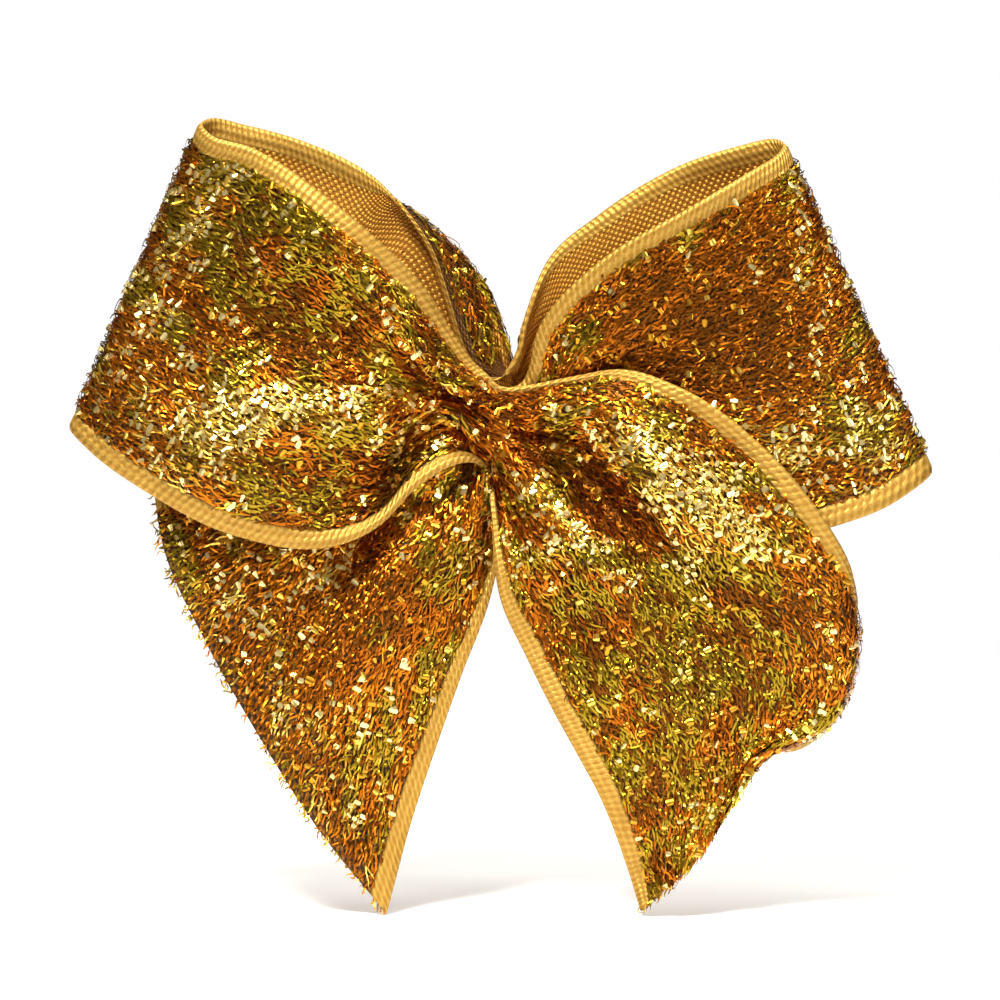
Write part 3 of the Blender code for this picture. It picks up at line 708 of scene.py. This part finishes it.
def pile_layer(layer, number, grid, frames, total, crests, crossings):
    """One layer's tints, places, directions and shapes; its tints carry painted shade at the
    front pinch and painted light and shade on crests, in valleys and in traced bands.
    """
    (kind, _, step_s, step_v, lengths, widths, arches, lifts, curls, scatter, turned,
     random_share) = layer
    rng = np.random.default_rng(SEED + LAYER_SEED + number)
    rows, cols = grid.shape[:2]
    clear = SELVEDGE / RIBBON_WIDTH
    first = FIRST_ROW + ROW_OFFSET * number * step_s
    s_at = np.arange(first, total / MM - LAST_ROW, step_s) * MM
    v_at = np.arange(clear - SPILL + SPILL_STEP * number, 1 - clear + SPILL,
                     step_v * MM / RIBBON_WIDTH)
    s, v = np.meshgrid(s_at, v_at, indexing="ij")
    s = s + (np.arange(s.shape[1]) % 2)[None, :] * step_s * MM / 2
    s = s.ravel() + rng.normal(0, JITTER * step_s * MM, s.size)
    v = v.ravel() + rng.normal(0, JITTER * step_v * MM / RIBBON_WIDTH, v.size)
    keep = (s > -PAST_CUT) & (s < total + PAST_CUT)
    s, v = s[keep], v[keep]
    row = s / total * (rows - 1)
    col = v * (cols - 1)
    local = np.linalg.norm(read_grid(np.gradient(grid, axis=1), row, col), axis=1) * (cols - 1)
    squeeze = np.clip(local / RIBBON_WIDTH, LEAST_SQUEEZE, 1.0)
    to_back = np.minimum(np.abs(s - crossings["B"]), np.abs(s - crossings["C"]))
    hidden = to_back < BARE_CROSSING
    hidden |= (np.abs(s - crossings["C"] - BARE_AT) < BARE_REACH) & (v < BARE_DEPTH)
    chosen = (rng.uniform(0, 1, len(s)) < squeeze ** 0.5) & ~hidden
    s, v, row, col, squeeze = (x[chosen] for x in (s, v, row, col, squeeze))
    count = len(s)
    a = v * RIBBON_WIDTH
    tone, hue, clump = (patches(settings, s / MM, a / MM)
                        for settings in (TONE_PATCHES, HUE_PATCHES, CLUMP_PATCHES))
    # painted shade on the pile near the front crossing
    near = np.exp(-(np.abs(s - crossings["A"]) / PILE_PINCH_SHADE_REACH) ** 2)
    crest_painted_light = np.clip(read_grid(crests[:, :, None], row, col)[:, 0], -PAINTED_CREST_LIGHT_LIMIT, PAINTED_CREST_LIGHT_LIMIT)
    free = rng.uniform(0, 1, count) < random_share
    loose = np.where(free, SPARK_TURNED_MORE if kind == "spark" else TURNED_MORE, 1.0)
    shape = [
        rng.uniform(*lengths, count) * MM,
        rng.uniform(*widths, count) * MM,
        rng.uniform(*arches, count) * MM * (1 - ARCH_LOST + ARCH_LOST * squeeze),
        rng.uniform(*lifts, count) * MM * (1 - LIFT_LOST + LIFT_LOST * squeeze),
        curls * rng.uniform(*CURL_RANGE, count) * MM,
        rng.normal(0, STRIP_LEAN, count) * loose,
        rng.normal(0, STRIP_YAW, count) * turned * loose,
        rng.normal(0, STRIP_ROLL, count) * loose,
    ]
    # lightness holds painted light and shade: crests, valleys, the front pinch and the traced
    # bands
    pick = (tone * TONE_WEIGHT + PAINTED_CREST_LIGHT * crest_painted_light + bumps(PAINTED_LIGHT_AND_SHADE, s / MM, v, crossings)
            + rng.normal(0, scatter, count) - PILE_PINCH_PAINTED_SHADE * near - TONE_BASE)
    warm = hue + bumps(WARMTH, s / MM, v, crossings) + rng.normal(0, HUE_SCATTER, count)
    base = read_grid(grid, row, col)
    ahead, side, normal = (unit(read_grid(x, row, col)) for x in frames)
    seen = np.ones(count, dtype=bool)
    if kind == "spark":
        stray = rng.uniform(0, 1, count) < SPARK_STRAY
        seen = (pick + SPARK_CLUMP * clump > SPARK_LEVEL) | stray
        pick = pick + SPARK_LIGHTER * clump
    names = tint_names(kind, pick, warm)
    return [x[seen] for x in (names, base, ahead, side, normal, *shape)]


def frayed_ends(grid, frames, rng):
    """Loose yarns that stand out of the two cut ends."""
    out = []
    for row, way in ((0, -1.0), (grid.shape[0] - 1, 1.0)):
        cols = np.sort(rng.uniform(0, grid.shape[1] - 1.01, FRAYS))
        rows = np.full(FRAYS, float(row))
        length = rng.uniform(*FRAY_LENGTH, FRAYS) * MM
        ahead, side, normal = (unit(read_grid(x, rows, cols)) for x in frames)
        base = read_grid(grid, rows, cols) + way * ahead * (FRAY_OUT * length)[:, None]
        shape = [length, rng.uniform(*FRAY_WIDTH, FRAYS) * MM, np.zeros(FRAYS),
                 rng.uniform(*FRAY_LIFT, FRAYS) * MM, rng.uniform(*FRAY_CURL, FRAYS) * MM,
                 *(rng.normal(0, turn, FRAYS) for turn in FRAY_TURNS)]
        names = rng.choice(["gold", "orange", "yellow", "olive"], FRAYS)
        out.append([names, base, ahead, side, normal, *shape])
    return [np.concatenate(x) for x in zip(*out)]


def pile_pieces(grid, frames, along, crests, crossings, materials):
    """The tinsel pile, one piece for each tint."""
    rng = np.random.default_rng(SEED + 1)
    verts = {name: [] for name in TINTS}
    faces = {name: [] for name in TINTS}
    tufts = [(layer[1], pile_layer(layer, number, grid, frames, along[-1], crests, crossings))
             for number, layer in enumerate(LAYERS)]
    tufts.append((FRAY_PARTS, frayed_ends(grid, frames, rng)))
    for parts, (names, *values) in tufts:
        for name in TINTS:
            here = names == name
            if not here.any():
                continue
            base, ahead, side, normal, *shape = (x[here] for x in values)
            new_verts, new_faces = strips(base, ahead, side, normal, rng, parts, shape)
            faces[name].append(new_faces + sum(len(x) for x in verts[name]))
            verts[name].append(new_verts)
    return [mesh_object("pile_" + name, np.concatenate(verts[name]),
                        np.concatenate(faces[name]), materials[name], name != "pale")
            for name in TINTS]


# ---- material helpers
def new_material(name):
    """A material, its node tree and its shader."""
    material = bpy.data.materials.new(name)
    material.use_nodes = True
    tree = material.node_tree
    return material, tree, tree.nodes["Principled BSDF"]


def feed(tree, target, value):
    """Set a socket to a number or colour, or link it."""
    if isinstance(value, bpy.types.NodeSocket):
        tree.links.new(value, target)
    elif hasattr(value, "__len__") and len(value) == 3 and target.type == "RGBA":
        target.default_value = (*value, 1.0)
    else:
        target.default_value = value


def maths(tree, operation, *values):
    """A Math node's output."""
    node = tree.nodes.new("ShaderNodeMath")
    node.operation = operation
    for socket, value in zip(node.inputs, values):
        feed(tree, socket, value)
    return node.outputs[0]


def mix(tree, factor, first, second):
    """A colour between two. A Mix node's colours go in at sockets 6 and 7, out at 2."""
    node = tree.nodes.new("ShaderNodeMix")
    node.data_type = "RGBA"
    feed(tree, node.inputs[0], factor)
    feed(tree, node.inputs[6], first)
    feed(tree, node.inputs[7], second)
    return node.outputs[2]


def step(tree, value, low, high, out_low=0.0, out_high=1.0):
    """A smooth change of a value into another range."""
    node = tree.nodes.new("ShaderNodeMapRange")
    node.interpolation_type = "SMOOTHSTEP"
    for socket, number in zip(node.inputs, (value, low, high, out_low, out_high)):
        feed(tree, socket, number)
    return node.outputs[0]


def noise(tree, scale, detail, vector=None):
    """A noise texture's value, over object coordinates."""
    if vector is None:
        vector = tree.nodes.new("ShaderNodeTexCoord").outputs["Object"]
    node = tree.nodes.new("ShaderNodeTexNoise")
    node.inputs["Scale"].default_value = scale
    node.inputs["Detail"].default_value = detail
    tree.links.new(vector, node.inputs["Vector"])
    return node.outputs[0]


def bump(tree, shader, height, distance, strength):
    """Relief of a given depth on a shader."""
    node = tree.nodes.new("ShaderNodeBump")
    node.inputs["Strength"].default_value = strength
    node.inputs["Distance"].default_value = distance
    tree.links.new(height, node.inputs["Height"])
    tree.links.new(node.outputs[0], shader.inputs["Normal"])


def attribute(tree, name):
    """A number that the mesh carries."""
    node = tree.nodes.new("ShaderNodeAttribute")
    node.attribute_name = name
    return node.outputs["Fac"]


def ribbon_material():
    """Woven gold ground with a ribbed selvedge, with painted shade under the pile and at the
    pinch.
    """
    material, tree, shader = new_material("ribbon_weave")
    across = attribute(tree, "across")
    along = attribute(tree, "along")
    pile_side = attribute(tree, "pile_side")
    drift = noise(tree, scale=900.0, detail=2.0)
    wobble = maths(tree, "MULTIPLY", maths(tree, "SUBTRACT", drift, 0.5), WOBBLE)
    a = maths(tree, "ADD", across, wobble)
    s = maths(tree, "ADD", along, wobble)
    dot_a = maths(tree, "SINE", maths(tree, "MULTIPLY", a, math.pi / WEAVE_CELL))
    dot_s = maths(tree, "SINE", maths(tree, "MULTIPLY", s, math.pi / WEAVE_CELL))
    dots = maths(tree, "MULTIPLY", dot_a, dot_s)
    weave = step(tree, dots, *WEAVE_EDGES)
    opposite = maths(tree, "SUBTRACT", RIBBON_WIDTH, across)
    edge = maths(tree, "MINIMUM", across, opposite)
    fade = step(tree, edge, SELVEDGE * SELVEDGE_FADE[0], SELVEDGE * SELVEDGE_FADE[1])
    selvedge = maths(tree, "SUBTRACT", 1.0, fade)
    slant = maths(tree, "ADD", s, maths(tree, "MULTIPLY", a, RIB_SLANT))
    rib = maths(tree, "SINE", maths(tree, "MULTIPLY", slant, math.tau / RIB_SPACING))
    cord = maths(tree, "SINE", maths(tree, "MULTIPLY", a, math.tau / CORD_SPACING))
    ridges = maths(tree, "ADD", maths(tree, "MULTIPLY", rib, RIB_SHARE),
                   maths(tree, "MULTIPLY", cord, CORD_SHARE))
    ribs = step(tree, ridges, -RIB_SHARE - CORD_SHARE, 1.0)
    patch = noise(tree, scale=260.0, detail=3.0)
    yarn = mix(tree, patch, *PLAIN_YARN)
    plain = mix(tree, weave, PLAIN_GAP, yarn)
    # painted shade under the pile
    under = mix(tree, weave, *UNDER_PILE_PAINTED_SHADE)
    body = mix(tree, pile_side, plain, under)
    band = mix(tree, ribs, mix(tree, patch, *BAND_GROOVE), mix(tree, patch, *BAND_RIB))
    whole = mix(tree, selvedge, body, band)
    # painted shade: the weave turns dark brown at the pinch
    shaded = mix(tree, attribute(tree, "pinch"), whole, PAINTED_PINCH_SHADE_COLOUR)
    feed(tree, shader.inputs["Base Color"], shaded)
    shader.inputs["Metallic"].default_value = 0.65
    feed(tree, shader.inputs["Roughness"], step(tree, weave, 0.0, 1.0, *WEAVE_ROUGHNESS))
    height = maths(tree, "ADD", maths(tree, "MULTIPLY", ribs, selvedge),
                   maths(tree, "MULTIPLY", weave, maths(tree, "SUBTRACT", 1.0, selvedge)))
    bump(tree, shader, height, distance=WEAVE_RELIEF, strength=0.8)
    return material


def pile_material(name, colour, roughness):
    """One tint of metallic film; its facets are real geometry."""
    material, _, shader = new_material("film_" + name)
    shader.inputs["Base Color"].default_value = (*colour, 1.0)
    shader.inputs["Metallic"].default_value = 1.0
    shader.inputs["Roughness"].default_value = roughness
    return material


def steel_material(name, colour, rough_low, rough_high, grain):
    """Plated steel with fine drawn lines and faint handling marks."""
    material, tree, shader = new_material(name)
    coords = tree.nodes.new("ShaderNodeTexCoord")
    stretch = tree.nodes.new("ShaderNodeMapping")
    stretch.inputs["Scale"].default_value = grain
    tree.links.new(coords.outputs["Object"], stretch.inputs["Vector"])
    lines = noise(tree, scale=900.0, detail=3.0, vector=stretch.outputs[0])
    marks = noise(tree, scale=320.0, detail=4.0)
    shade = maths(tree, "MULTIPLY", marks, STEEL_MARKS)
    darker = tuple(STEEL_DARKER * c for c in colour)
    feed(tree, shader.inputs["Base Color"], mix(tree, shade, colour, darker))
    shader.inputs["Metallic"].default_value = 1.0
    rough = step(tree, lines, *NOISE_RANGE, rough_low, rough_high)
    feed(tree, shader.inputs["Roughness"], rough)
    bump(tree, shader, lines, distance=0.01 * MM, strength=0.5)
    return material


def thread_material():
    """Twisted gold thread."""
    material, tree, shader = new_material("gold_thread")
    fibre = noise(tree, scale=5200.0, detail=2.0)
    feed(tree, shader.inputs["Base Color"], mix(tree, fibre, *THREAD_COLOURS))
    shader.inputs["Metallic"].default_value = 0.35
    shader.inputs["Roughness"].default_value = 0.55
    bump(tree, shader, fibre, distance=0.04 * MM, strength=0.8)
    return material


def glue_material():
    """Cloudy amber hot glue."""
    material, tree, shader = new_material("hot_glue")
    cloud = noise(tree, scale=420.0, detail=4.0)
    feed(tree, shader.inputs["Base Color"], mix(tree, cloud, *GLUE_COLOURS))
    feed(tree, shader.inputs["Roughness"], step(tree, cloud, *NOISE_RANGE, *GLUE_ROUGHNESS))
    shader.inputs["Subsurface Weight"].default_value = 0.3
    shader.inputs["Subsurface Scale"].default_value = 1.5 * MM
    skin = noise(tree, scale=700.0, detail=2.0)
    bump(tree, shader, skin, distance=0.05 * MM, strength=0.6)
    return material


def floor_material(centre, near, far):
    """Pale floor that fades out round the object."""
    material, tree, shader = new_material("pale_floor")
    shader.inputs["Base Color"].default_value = (0.93, 0.93, 0.93, 1.0)
    shader.inputs["Roughness"].default_value = 0.9
    shader.inputs["Emission Color"].default_value = (1.0, 1.0, 1.0, 1.0)
    shader.inputs["Emission Strength"].default_value = 0.15
    place = tree.nodes.new("ShaderNodeNewGeometry").outputs["Position"]
    gap = tree.nodes.new("ShaderNodeVectorMath")
    gap.operation = "DISTANCE"
    tree.links.new(place, gap.inputs[0])
    gap.inputs[1].default_value = centre
    feed(tree, shader.inputs["Alpha"], step(tree, gap.outputs["Value"], near, far, 1.0, 0.0))
    return material


# ---- smaller pieces
def tube(name, path, radius, material, sides):
    """A closed round tube along a list of points."""
    path = np.asarray(path)
    ahead = unit(np.gradient(path, axis=0))
    aside = np.cross(ahead[0], (0.0, 0.0, 1.0))
    if np.linalg.norm(aside) < UPRIGHT:
        aside = np.cross(ahead[0], (1.0, 0.0, 0.0))
    rings = []
    for point, direction in zip(path, ahead):
        aside = aside - direction * np.dot(aside, direction)
        aside = aside / np.linalg.norm(aside)
        up = np.cross(direction, aside)
        angle = np.linspace(0, math.tau, sides, endpoint=False)[:, None]
        rings.append(point + radius * (np.cos(angle) * aside + np.sin(angle) * up))
    verts = np.concatenate([*rings, path[:1], path[-1:]])
    faces = []
    for ring in range(len(path) - 1):
        for side in range(sides):
            a = ring * sides + side
            b = ring * sides + (side + 1) % sides
            faces.append((a, b, b + sides, a + sides))
    first = len(path) * sides
    last = (len(path) - 1) * sides
    for side in range(sides):
        faces.append((first, (side + 1) % sides, side))
        faces.append((first + 1, last + side, last + (side + 1) % sides))
    return mesh_object(name, verts, faces, material)


def hull_outline(points):
    """Counter-clockwise convex outline of 2-D points."""
    points = sorted(map(tuple, points))

    def chain(ordered):
        out = []
        for p in ordered:
            while len(out) > 1 and ((out[-1][0] - out[-2][0]) * (p[1] - out[-2][1])
                                    - (out[-1][1] - out[-2][1]) * (p[0] - out[-2][0])) <= 0:
                out.pop()
            out.append(p)
        return out[:-1]

    return np.array(chain(points) + chain(points[::-1]))


def binding_thread(grid, material):
    """Thread drawn tight round the gathered ribbon, tucked under the front selvedge."""
    points = grid.reshape(-1, 3)
    here = points[(np.abs(points[:, 0]) < THREAD_NEAR) & (points[:, 2] > THREAD_LOW)
                  & (points[:, 2] < THREAD_HIGH)]
    outline = hull_outline(here[:, 1:])
    closed = np.concatenate([outline, outline[:1]])
    run = np.concatenate([[0.0], np.cumsum(np.linalg.norm(np.diff(closed, axis=0), axis=1))])
    at = (np.arange(THREAD_TURNS * TURN_STEPS + 1) / TURN_STEPS) % 1.0 * run[-1]
    y = np.interp(at, run, closed[:, 0])
    z = np.interp(at, run, closed[:, 1])
    middle = outline.mean(axis=0)
    out = unit(np.stack([y - middle[0], z - middle[1]], axis=1))
    x = np.linspace(-THREAD_SPAN, THREAD_SPAN, len(at)) * MM
    path = np.stack([x, y + out[:, 0] * THREAD_PROUD, z + out[:, 1] * THREAD_PROUD], axis=1)
    return tube("thread", path, THREAD_RADIUS, material, THREAD_SIDES)


def glue_bead(material):
    """Squeezed bead of glue between the back of the gather and the clip."""
    low, high = np.array(PAD_LOW), np.array(PAD_HIGH)
    middle = (low + high) / 2
    half = (high - low) / 2
    work = bmesh.new()
    bmesh.ops.create_icosphere(work, subdivisions=5, radius=1.0)
    rng = np.random.default_rng(SEED + 2)
    turns = rng.uniform(0, math.tau, BEAD_WAVES)
    for vert in work.verts:
        x, y, z = vert.co
        angle = math.atan2(z, x)
        swell = 1 + BEAD_SWELL * sum(
            math.sin((i + 2) * angle + turns[i]) for i in range(BEAD_WAVES)) / 2
        y = math.copysign(abs(y) ** BEAD_FLATNESS, y)
        vert.co = Vector((middle[0] + BEAD_FILL * half[0] * x * swell,
                          middle[1] + BEAD_FILL_DEEP * half[1] * y,
                          middle[2] + BEAD_FILL * half[2] * z * swell))
    mesh = bpy.data.meshes.new("glue_bead")
    work.to_mesh(mesh)
    work.free()
    for polygon in mesh.polygons:
        polygon.use_smooth = True
    mesh.materials.append(material)
    return add_object("glue_bead", mesh)


def spring_path():
    """Middle line of the torsion spring: one leg on each jaw, coils round the pin."""
    centre_x = PIVOT[0]
    coil = SPRING_COIL
    half = SPRING_HALF
    steps = int(SPRING_TURNS * COIL_STEPS)
    leg = [SPRING_LEG * k / LEG_STEPS for k in range(LEG_STEPS + 1)]
    points = [(centre_x + x, -coil, -half) for x in leg[:0:-1]]
    for k in range(steps + 1):
        angle = -math.pi / 2 - math.tau * SPRING_TURNS * k / steps
        z = -half + 2 * half * k / steps
        points.append((centre_x + coil * math.cos(angle), coil * math.sin(angle), z))
    points += [(centre_x + x, coil, half) for x in leg[1:]]
    return points


# ---- camera, lights and floor
def look(obj, target):
    """Turn an object's -Z towards a point."""
    obj.rotation_euler = (Vector(target) - obj.location).to_track_quat("-Z", "Y").to_euler()


def camera():
    """Camera straight in front, a little above."""
    low, high = Vector(CAD_LOW), Vector(CAD_HIGH)
    width = high[0] - low[0]
    aim = Vector(((low[0] + high[0]) / 2 + AIM_RIGHT * width, BOW_Y - AIM_FORWARD,
                  (low[2] + high[2]) / 2 + AIM_UP))
    data = bpy.data.cameras.new("camera")
    data.sensor_width = SENSOR
    data.lens = SENSOR * CAMERA_DISTANCE / (PICTURE_WIDTH * width)
    data.clip_start = 0.01
    obj = add_object("camera", data)
    obj.location = aim + CAMERA_DISTANCE * Vector((0.0, -math.cos(CAMERA_RISE),
                                                   math.sin(CAMERA_RISE)))
    look(obj, aim)
    bpy.context.scene.camera = obj
    return aim


def soft_light(name, place, target, size, power):
    """A white area light."""
    data = bpy.data.lights.new(name, "AREA")
    data.shape = "RECTANGLE"
    data.size, data.size_y = size
    data.energy = power
    obj = add_object(name, data)
    obj.location = place
    look(obj, target)


def studio(aim):
    """Soft lights, pale surroundings and a pale floor."""
    for name, place, size, power in LIGHTS:
        soft_light(name, place, aim, size, power)
    world = bpy.data.worlds.new("surroundings")
    world.use_nodes = True
    bpy.context.scene.world = world
    tree = world.node_tree
    shade = tree.nodes["Background"]
    pale = tree.nodes.new("ShaderNodeBackground")
    path = tree.nodes.new("ShaderNodeLightPath")
    both = tree.nodes.new("ShaderNodeMixShader")
    ahead = tree.nodes.new("ShaderNodeTexCoord").outputs["Generated"]
    parts = tree.nodes.new("ShaderNodeSeparateXYZ")
    tree.links.new(ahead, parts.inputs[0])
    glow = step(tree, parts.outputs["Z"], *SKY_FROM_TO, *SKY_GLOW)
    shade.inputs["Color"].default_value = SKY_TINT
    feed(tree, shade.inputs["Strength"], glow)
    pale.inputs["Color"].default_value = (1.0, 1.0, 1.0, 1.0)
    pale.inputs["Strength"].default_value = 1.0
    tree.links.new(path.outputs["Is Camera Ray"], both.inputs[0])
    tree.links.new(shade.outputs[0], both.inputs[1])
    tree.links.new(pale.outputs[0], both.inputs[2])
    tree.links.new(both.outputs[0], tree.nodes["World Output"].inputs["Surface"])
    bpy.context.scene.view_settings.view_transform = "Standard"
    place = (aim[0], aim[1], CAD_LOW[2] - FLOOR_GAP)
    mesh = bpy.data.meshes.new("floor")
    work = bmesh.new()
    bmesh.ops.create_circle(work, cap_ends=True, segments=96, radius=FLOOR_RADIUS)
    work.to_mesh(mesh)
    work.free()
    mesh.materials.append(floor_material(place, *FLOOR_FADE))
    floor = add_object("floor", mesh)
    floor.location = place


# ---- assembly
aim_point = camera()
studio(aim_point)

base_grid, along_at, across_at, crossing = ribbon_grid()
ribbon_surface, _ = pleated(base_grid, along_at, across_at, crossing, THREAD_GROOVE)
pile_foot, crests = pleated(base_grid, along_at, across_at, crossing, 0.0)
_, _, pile_normal = surface_frame(ribbon_surface)

ribbon = ribbon_piece(ribbon_surface, pile_normal, along_at, across_at, crossing.values(),
                      ribbon_material())
film = {name: pile_material(name, *look_of) for name, look_of in TINTS.items()}
pile = pile_pieces(pile_foot, surface_frame(pile_foot), along_at, crests, crossing, film)
thread = binding_thread(ribbon_surface, thread_material())
bead = glue_bead(glue_material())
spring_steel = steel_material("spring_wire", (0.42, 0.41, 0.40), 0.22, 0.40, (1.0, 1.0, 1.0))
spring = tube("spring", spring_path(), SPRING_WIRE, spring_steel, SPRING_SIDES)

clip_steel = steel_material("plated_steel", (0.78, 0.78, 0.77), 0.12, 0.26, (0.12, 1.0, 1.0))
for node in ("clip_top_jaw", "clip_bottom_jaw", "hinge_pin"):
    for slot in frame["nodes"][node].material_slots:
        slot.material = clip_steel

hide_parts("left_loop", "right_loop", "left_tail", "right_tail", "centre_gather")
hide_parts("binding_thread")
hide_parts("glue_pad")
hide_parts("torsion_spring")
for piece in (ribbon, thread, bead, *pile):
    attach(piece, "bow")
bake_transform(spring)
